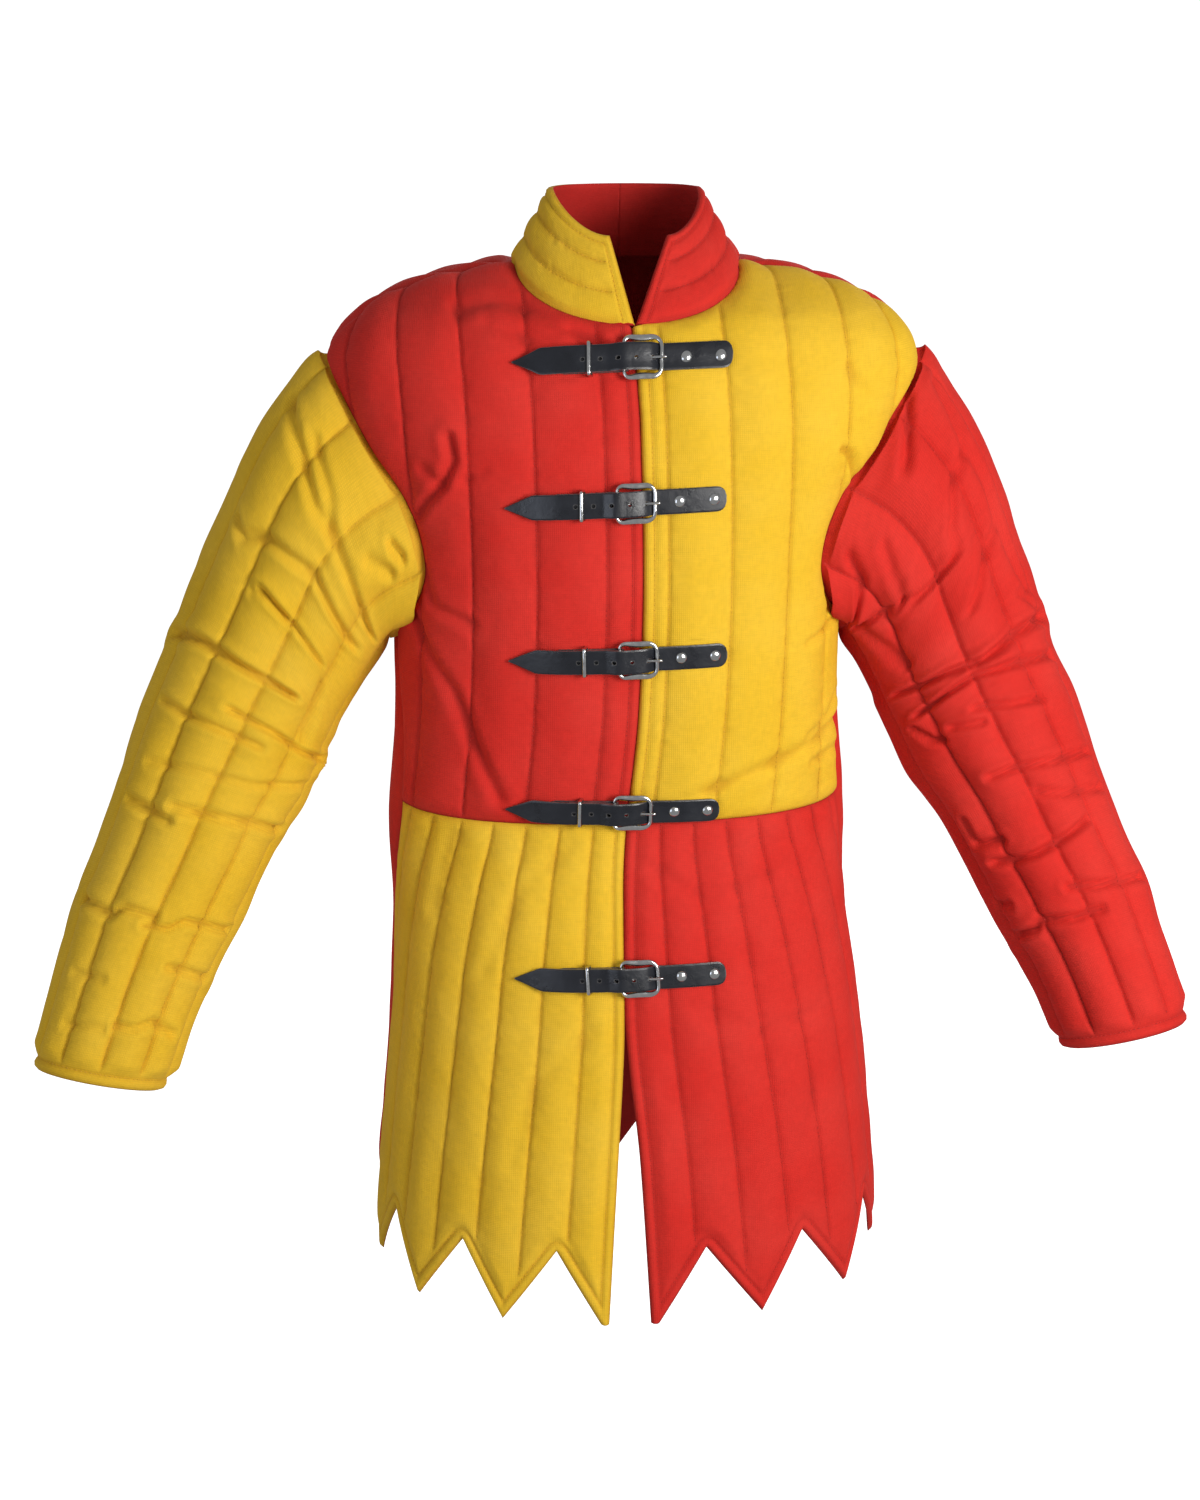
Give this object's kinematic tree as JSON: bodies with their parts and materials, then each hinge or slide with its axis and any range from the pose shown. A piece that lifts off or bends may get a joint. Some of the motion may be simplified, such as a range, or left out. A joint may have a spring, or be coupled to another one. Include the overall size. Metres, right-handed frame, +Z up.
{
  "type": "gambeson",
  "caption": "Quartered red and yellow quilted arming coat, worn and hollow, with a standing collar, buckled leather straps down the front, long sleeves and a toothed hem",
  "frame": {"origin": "middle of the neck's base, where the coat hangs on its wearer's shoulders", "axes": "+Z up, the front faces -Y, the wearer's left is at +X"},
  "size_m": [1.0032, 0.3551, 0.9686],
  "materials": {
    "red_cloth": "quilted cotton, matt",
    "yellow_cloth": "quilted cotton, matt",
    "black_leather": "smooth, semi-gloss",
    "nickel_plate": "polished nickel plate"
  },
  "bodies": {
    "root": {"front_right_chest": "red_cloth", "front_left_chest": "yellow_cloth", "skirt_right": "yellow_cloth", "skirt_left": "red_cloth", "back": "red_cloth", "sleeve_right": "yellow_cloth", "sleeve_left": "red_cloth", "collar_right": "yellow_cloth", "collar_left": "red_cloth", "closure_1_billet": "black_leather", "closure_1_chape": "black_leather", "closure_1_frame": "nickel_plate", "closure_1_prong": "nickel_plate", "closure_1_keeper": "nickel_plate", "closure_1_rivet_a": "nickel_plate", "closure_1_rivet_b": "nickel_plate", "closure_1_rivet_c": "nickel_plate", "closure_2_billet": "black_leather", "closure_2_chape": "black_leather", "closure_2_frame": "nickel_plate", "closure_2_prong": "nickel_plate", "closure_2_keeper": "nickel_plate", "closure_2_rivet_a": "nickel_plate", "closure_2_rivet_b": "nickel_plate", "closure_2_rivet_c": "nickel_plate", "closure_3_billet": "black_leather", "closure_3_chape": "black_leather", "closure_3_frame": "nickel_plate", "closure_3_prong": "nickel_plate", "closure_3_keeper": "nickel_plate", "closure_3_rivet_a": "nickel_plate", "closure_3_rivet_b": "nickel_plate", "closure_3_rivet_c": "nickel_plate", "closure_4_billet": "black_leather", "closure_4_chape": "black_leather", "closure_4_frame": "nickel_plate", "closure_4_prong": "nickel_plate", "closure_4_keeper": "nickel_plate", "closure_4_rivet_a": "nickel_plate", "closure_4_rivet_b": "nickel_plate", "closure_4_rivet_c": "nickel_plate", "closure_5_billet": "black_leather", "closure_5_chape": "black_leather", "closure_5_frame": "nickel_plate", "closure_5_prong": "nickel_plate", "closure_5_keeper": "nickel_plate", "closure_5_rivet_a": "nickel_plate", "closure_5_rivet_b": "nickel_plate", "closure_5_rivet_c": "nickel_plate"}
  },
  "joints": []
}
